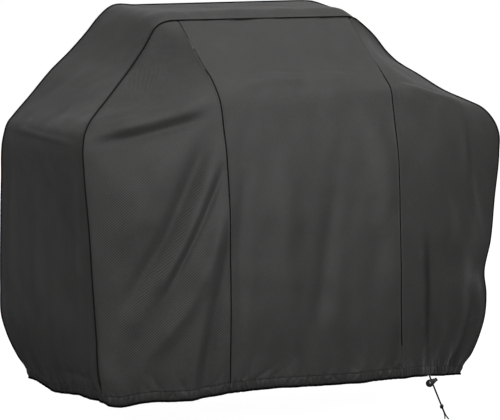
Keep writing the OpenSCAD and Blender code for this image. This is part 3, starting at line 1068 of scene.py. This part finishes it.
def pucker(s, drop):
    """Diagonal creases in the tunnel, which fade towards its two edges."""
    tight = np.full(s.shape, LOOSE_STRENGTH)
    for place, spread, strength in TIGHT_PLACES:
        tight = np.maximum(tight, strength * np.exp(-(((s - place) / spread) ** 2)))
    out = np.zeros(s.shape)
    for place, size, slant, width in zip(pucker_places, pucker_sizes, pucker_slants, pucker_widths):
        off = (s - place + slant * (drop - HEM_HEIGHT / 2) + loop_length / 2) % loop_length - loop_length / 2
        out += size * np.exp(-((off / width) ** 2))
    return out * tight * np.sin(pi * np.clip(drop / HEM_HEIGHT, 0, 1))


def on_loop(values, s):
    """The vectors that belong to places s along the hem."""
    around = np.append(hem_places, loop_length)
    turned = np.vstack([values, values[:1]])
    return sampled(turned, around, s % loop_length)


def tunnel_points(first, last):
    """The tunnel's surface between two places along the hem, the hem's line there, and its directions."""
    count = max(4, int((last - first) / HEM_STEP))
    s = np.linspace(first, last, count)
    line = on_loop(hem_loop, s)
    out = unit(on_loop(hem_out, s))
    push, drop = HEM_SECTION[:, 0], HEM_SECTION[:, 1]
    outer = np.clip((push + HEM_MIDDLE_IN) / HEM_BLEND, 0, 1)
    sunk = outer[None] * pucker(*np.broadcast_arrays(s[:, None], drop[None]))
    shift = push[None] + np.maximum(sunk, -PUCKER_IN)
    points = line[:, None] + shift[..., None] * out[:, None]
    down = unit(on_loop(hem_down, s))
    return points + drop[None, :, None] * down[:, None], line, out, down, sunk


def tunnel(name, first, last):
    """A part of the hem's tunnel, closed at both ends."""
    points, line, out, down, sunk = tunnel_points(first, last)
    rows, cols = points.shape[:2]
    middle = line - HEM_MIDDLE_IN * out + HEM_HEIGHT / 2 * down
    flat = np.concatenate([points.reshape(-1, 3), middle[[0, -1]]])
    faces = grid_faces(rows, cols, wrap=True)[:, ::-1].tolist()
    start, end = rows * cols, rows * cols + 1
    low = (rows - 1) * cols
    for j in range(cols):
        k = (j + 1) % cols
        faces.append((start, k, j))
        faces.append((end, low + j, low + k))
    made = piece(name, flat, faces, hem_cloth, "hem_fabric")
    # Painted shade in the hollows of the puckers
    dark = np.append(PUCKER_SHADE_PAINT * np.clip(-sunk / PUCKER, 0, 1).ravel(), (0, 0))
    paint_shade(made, dark)
    return made


EDGE_R = 3.6 * MM
EDGE_OUT = 4.0 * MM
EDGE_GAP = 17 * MM


def edge_roll(name, first, last):
    """The rolled lower edge of the tunnel, its cloth painted near-black as the shade under the edge."""
    points, _, out, *_ = tunnel_points(first, last)
    low = points[:, HEM_SECTION[:, 1].argmax()] + EDGE_OUT * out
    return tube(name, low, EDGE_R, shade_black_cloth, "hem_fabric")


tunnel_start = patch_place + PATCH_HALF + PATCH_GAP
tunnel_end = patch_place + loop_length - PATCH_HALF - PATCH_GAP
casing = tunnel("hem_tunnel", tunnel_start, tunnel_end)
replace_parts(casing, "hem_casing")
hem_edge = edge_roll("hem_edge", patch_place + EDGE_GAP, patch_place + loop_length - EDGE_GAP)
patch = tunnel("cord_exit_patch_cloth", patch_place - PATCH_HALF, patch_place + PATCH_HALF)
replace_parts(patch, "cord_exit_patch")

# ---- Drawcord in the tunnel ----

DRAWCORD_R = 1.5 * MM
DRAWCORD_DEEP = 15 * MM
DRAWCORD_IN = 5.0 * MM
DRAWCORD_STEP = 16 * MM
DRAWCORD_CLEAR = 55 * MM
DRAWCORD_CURVE = 4 * MM
DRAWCORD_SIDES = 10
EXIT_RISE = 1 * MM
# The points by which it turns from the exit into the tunnel: how far up, inwards and aside
EXIT_TURN = np.array(((7, 1.5, 5), (12, 3, 16))) * MM


def drawcord_points():
    """From the exit, up into the tunnel, all the way round the cover and back down to the exit."""
    s = np.arange(patch_place + DRAWCORD_CLEAR, patch_place + loop_length - DRAWCORD_CLEAR, DRAWCORD_STEP)
    line, out = on_loop(plain_loop, s), unit(on_loop(hem_out, s))
    round_hem = line - DRAWCORD_IN * out + DRAWCORD_DEEP * unit(on_loop(hem_down, s))
    way = unit(round_hem[0] - CORD_EXIT)
    top = -CORD_DIR
    inwards = -unit(on_loop(hem_out, np.array([patch_place])))[0]

    def into_tunnel(side):
        points = [CORD_EXIT + EXIT_RISE * top + side * CORD_OFFSET * SIDEWAYS]
        for up, deep, aside in EXIT_TURN:
            points.append(CORD_EXIT + up * top + deep * inwards + side * aside * way)
        return points

    return np.vstack([into_tunnel(1), round_hem, into_tunnel(-1)[::-1]])


drawcord_path = through(drawcord_points(), DRAWCORD_CURVE)
drawcord = tube("drawcord_in_hem", drawcord_path, DRAWCORD_R, cord_yarn, "drawcord", DRAWCORD_SIDES)
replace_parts(drawcord, "hem_drawcord")

# ---- Buttonhole: a ring of close stitches round the slit ----

HOLE_LONG = 5.2 * MM
HOLE_SHORT = 3.4 * MM
HOLE_BAND = 2.2 * MM
HOLE_STITCHES = 44
HOLE_THREAD = 0.38 * MM
HOLE_SIDES = 5
HOLE_SPAN = 8 * MM
# How far the start, middle and end of each stitch stand up
HOLE_WAVE = np.array((0.4, -0.5, 0.4)) * MM

before_hole, after_hole = on_loop(plain_loop, patch_place + HOLE_SPAN * np.array((-1, 1)))
hole_along = unit(after_hole - before_hole)
hole_out = unit(on_loop(hem_out, np.array([patch_place])))[0]


def ring_of_stitches():
    points, faces = [], []
    for k in range(HOLE_STITCHES):
        angle = 2 * pi * k / HOLE_STITCHES
        radial = HOLE_LONG * cos(angle) * hole_along + HOLE_SHORT * sin(angle) * hole_out
        way = unit(radial)
        path = CORD_EXIT + np.array([radial, radial + HOLE_BAND / 2 * way, radial + HOLE_BAND * way])
        path[:, 2] += HOLE_WAVE
        rings = tube_rings(path, HOLE_THREAD, HOLE_SIDES)
        first = len(points)
        last = first + (len(path) - 1) * HOLE_SIDES
        points.extend(rings.reshape(-1, 3))
        faces.extend((grid_faces(len(path), HOLE_SIDES, wrap=True) + first).tolist())
        faces.append([first + j for j in range(HOLE_SIDES)])
        faces.append([last + j for j in reversed(range(HOLE_SIDES))])
    return points, faces


buttonhole = piece("buttonhole_stitches", *ring_of_stitches(), sewing_thread, "thread")
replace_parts(buttonhole, "cord_exit_buttonhole")

# ---- Piping ----

PIPING_R = 2.3 * MM
FILLER_R = 1.4 * MM
SLEEVE = 0.9 * MM
PIPING_OUT = 2.2 * MM
PIPING_TUCK = 50 * MM
PIPING_TUCKED = -3.0 * MM
PIPING_STEP = 4 * MM
PIPING_SIDES = 14


def piping_path(edge, inside):
    """The seam's line, moved a little outwards from the body of the cover."""
    path = through(edge[::3], PIPING_STEP)
    s = lengths(path)
    near_end = ease(np.minimum(s, s[-1] - s) / PIPING_TUCK)
    off = PIPING_TUCKED + (PIPING_OUT - PIPING_TUCKED) * near_end
    return path + off[:, None] * unit(path - inside)


def sleeve(name, path):
    """A hollow tube of cloth round the filler."""
    outer = tube_rings(path, PIPING_R, PIPING_SIDES)
    inner = tube_rings(path, PIPING_R - SLEEVE, PIPING_SIDES)
    walls = grid_faces(len(path), PIPING_SIDES, wrap=True)
    layer = len(path) * PIPING_SIDES
    low = layer - PIPING_SIDES
    faces = np.concatenate([walls, walls[:, ::-1] + layer]).tolist()
    for j in range(PIPING_SIDES):
        k = (j + 1) % PIPING_SIDES
        faces.append((j, k, k + layer, j + layer))
        faces.append((low + k, low + j, low + j + layer, low + k + layer))
    points = np.concatenate([outer.reshape(-1, 3), inner.reshape(-1, 3)])
    return piece(name, points, faces, piping_cloth, "piping_fabric")


FRONT_INSIDE = np.array((0, 0.15, -0.75))
BACK_INSIDE = np.array((0, -0.15, -0.75))
for end, edge, inside in (("front", front_arch, FRONT_INSIDE), ("back", back_arch, BACK_INSIDE)):
    path = piping_path(edge, inside)
    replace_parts(sleeve(f"{end}_piping_cover", path), f"{end}_piping_sleeve")
    filler = tube(f"{end}_piping_cord", path[1:-1], FILLER_R, filler_yarn, "filler_cord")
    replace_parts(filler, f"{end}_piping_filler")

# ---- Seam tapes, and rows of stitches ----

TAPE_HALF = 8 * MM
TAPE_IN = 1.9 * MM
TAPE_THICK = 0.4 * MM
TAPE_TOP = 8
STITCH = 3.0 * MM
STITCH_PITCH = 4.2 * MM
STITCH_WIDE = 0.8 * MM
STITCH_HIGH = 0.4 * MM
STITCH_SUNK = 0.15 * MM
STITCH_ROWS = np.array((-6.2, -2.6, 2.6, 6.2)) * MM


def beside(grid, column, away):
    """A line on the grid at a distance away from one of its columns, with its normals."""
    facing = normals(grid)
    line, out = [], []
    for row, s in enumerate(along_rows(grid)):
        at = [s[column] + away]
        line.append(sampled(grid[row], s, at)[0])
        out.append(sampled(facing[row], s, at)[0])
    return np.array(line), unit(np.array(out))


def dashes(line, out):
    """Stitches along a line, as small flat bars with sloping ends."""
    s = lengths(line)
    starts = np.arange(STITCH_PITCH, s[-1] - STITCH_PITCH, STITCH_PITCH)
    points, faces = [], []
    for start in starts:
        at = start + STITCH * np.array((0, 0.2, 0.8, 1))
        middle = sampled(line, s, at)
        facing = sampled(out, s, [start])[0]
        side = STITCH_WIDE / 2 * unit(np.cross(middle[-1] - middle[0], facing))
        high = np.array((0, 1, 1, 0))[:, None] * STITCH_HIGH * facing
        low = middle - STITCH_SUNK * facing
        top = low + high
        base = len(points)
        points.extend([low[0] - side, low[0] + side, low[3] - side, low[3] + side])
        points.extend([top[1] - side, top[1] + side, top[2] - side, top[2] + side])
        faces.extend([base + np.array(f) for f in (
            (0, 4, 5, 1), (4, 6, 7, 5), (6, 2, 3, 7), (0, 1, 3, 2), (0, 2, 6, 4), (1, 5, 7, 3),
        )])
    return points, faces


def stitched(name, rows):
    """One piece from several rows of stitches, each given as a line and its normals."""
    points, faces = [], []
    for line, out in rows:
        more, more_faces = dashes(line, out)
        faces.extend([f + len(points) for f in more_faces])
        points.extend(more)
    return piece(name, points, faces, sewing_thread, "thread")


# A near-black fold in each long seam's groove, whose colour paints the shade in the groove
FOLD_R = 1.3 * MM
FOLD_OUT = 4.3 * MM
FOLD_SUNK = 0.6 * MM
for side, column in (("left", LEFT_SEAM), ("right", RIGHT_SEAM)):
    columns = [beside(front[TAPE_TOP:], column, share * TAPE_HALF) for share in (-1, -0.5, 0, 0.5, 1)]
    tape = np.stack([line - TAPE_IN * out for line, out in columns], 1)
    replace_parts(shell(f"{side}_tape", tape, TAPE_THICK, tape_film, "seam_tape"), f"{side}_seam_tape")
    rows = [beside(front[TAPE_TOP:], column, away) for away in STITCH_ROWS]
    stitches = stitched(f"{side}_seam_stitches", rows)
    middle, facing = beside(front[TAPE_TOP:], column, 0)
    fold_out = FOLD_OUT * groove_share(front[TAPE_TOP:], column)[:, None] - FOLD_SUNK
    fold = tube(f"{side}_seam_fold", middle + fold_out * facing, FOLD_R, shade_black_cloth, "cover_fabric")

HEM_STITCH_UP = 3 * MM


def above_hem(grid):
    """The line a little above the last row of a grid, with its normals."""
    step = np.linalg.norm(grid[-1] - grid[-2], axis=1)[:, None]
    share = HEM_STITCH_UP / step
    return grid[-1] * (1 - share) + grid[-2] * share, normals(grid)[-1]


hem_rows = [above_hem(front), above_hem(back), above_hem(strip), above_hem(strip[::-1, ::-1])]
hem_stitches = stitched("hem_stitches", hem_rows)

# ---- Cord lock ----

LOCK_Z = np.array((cos(CORD_LEAN), 0, sin(CORD_LEAN)))
LOCK_CENTRE = np.array((0.475540, -0.484235, -1.181948))
SPRING_FLOOR = -13.55 * MM
SPRING_TOP = -5.05 * MM
SPRING_R = 3.82 * MM
WIRE_R = 0.35 * MM
SPRING_TURNS = 5
SPRING_STEPS = 24


def spring_path():
    t = np.arange(SPRING_TURNS * SPRING_STEPS + 1) / (SPRING_TURNS * SPRING_STEPS)
    rise = SPRING_FLOOR + (SPRING_TOP - SPRING_FLOOR) * t
    angle = 2 * pi * SPRING_TURNS * t
    up = np.cross(LOCK_Z, SIDEWAYS)
    flat = np.cos(angle)[:, None] * SIDEWAYS + np.sin(angle)[:, None] * up
    return LOCK_CENTRE + rise[:, None] * LOCK_Z + SPRING_R * flat


spring = tube("button_spring", spring_path(), WIRE_R, spring_steel, "spring_steel", body=LOCK)
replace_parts(spring, "lock_spring")
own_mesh(spring)

for node, material in (("lock_barrel", lock_plastic), ("lock_plunger", button_plastic)):
    for material_slot in bpy.data.objects[node].material_slots:
        material_slot.material = material

# ---- Floor, lights and world ----

FLOOR_Z = -1.309
FLOOR_GLOW = 0.97
FLOOR_HALF = 160


def floor():
    mesh = bpy.data.meshes.new("floor")
    corners = ((-1, -1), (1, -1), (1, 1), (-1, 1))
    points = [(x * FLOOR_HALF, y * FLOOR_HALF, FLOOR_Z) for x, y in corners]
    mesh.from_pydata(points, [], [(0, 1, 2, 3)])
    made = bpy.data.objects.new("floor", mesh)
    bpy.context.scene.collection.objects.link(made)
    n = Nodes("floor_white")
    normal = n.bump(n.noise(40.0), 1 * MM, 0.02)
    glow = {"Emission Color": grey(1.0), "Emission Strength": FLOOR_GLOW, "Specular IOR Level": 0.0}
    mesh.materials.append(n.finish(n.mix(n.noise(3.0), grey(0.18), grey(0.20)), 0.9, normal, glow))
    made.visible_diffuse = False
    made.visible_glossy = False


def area_light(name, place, aim, size, power):
    data = bpy.data.lights.new(name, "AREA")
    data.shape = "RECTANGLE"
    data.size, data.size_y = size
    data.energy = power
    lamp = bpy.data.objects.new(name, data)
    way = Vector(aim) - Vector(place)
    lamp.matrix_world = Matrix.Translation(place) @ way.to_track_quat("-Z", "Y").to_matrix().to_4x4()
    bpy.context.scene.collection.objects.link(lamp)


def world(strength):
    """A soft dome that is bright overhead and dark below the horizon."""
    made = bpy.data.worlds.new("studio")
    made.use_nodes = True
    tree = made.node_tree
    place = tree.nodes.new("ShaderNodeTexCoord")
    parts = tree.nodes.new("ShaderNodeSeparateXYZ")
    span = tree.nodes.new("ShaderNodeMapRange")
    tree.links.new(place.outputs["Generated"], parts.inputs[0])
    tree.links.new(parts.outputs[2], span.inputs["Value"])
    for socket, value in zip(("From Min", "From Max", "To Min", "To Max"), (-0.1, 0.5, 0.05, strength)):
        span.inputs[socket].default_value = value
    shade = tree.nodes["Background"]
    shade.inputs["Color"].default_value = grey(1.0)
    tree.links.new(span.outputs["Result"], shade.inputs["Strength"])
    bpy.context.scene.world = made


floor()
world(0.22)
area_light("overhead", (0.7, -0.9, 3.2), (0, -0.1, -0.3), (3.0, 2.4), 72)
area_light("front", (-0.7, -6.2, 1.6), (0, -0.2, -0.5), (2.0, 2.0), 245)
area_light("left", (-5.0, 0.2, 0.2), (-0.6, -0.1, -0.7), (2.0, 2.0), 60)
area_light("right", (5.0, 2.0, -0.5), (0.6, -0.1, -0.7), (1.6, 1.4), 50)
area_light("back", (0.3, 5.6, -0.5), (0, 0.1, -0.7), (1.6, 1.4), 110)
bpy.context.scene.view_settings.view_transform = "Standard"
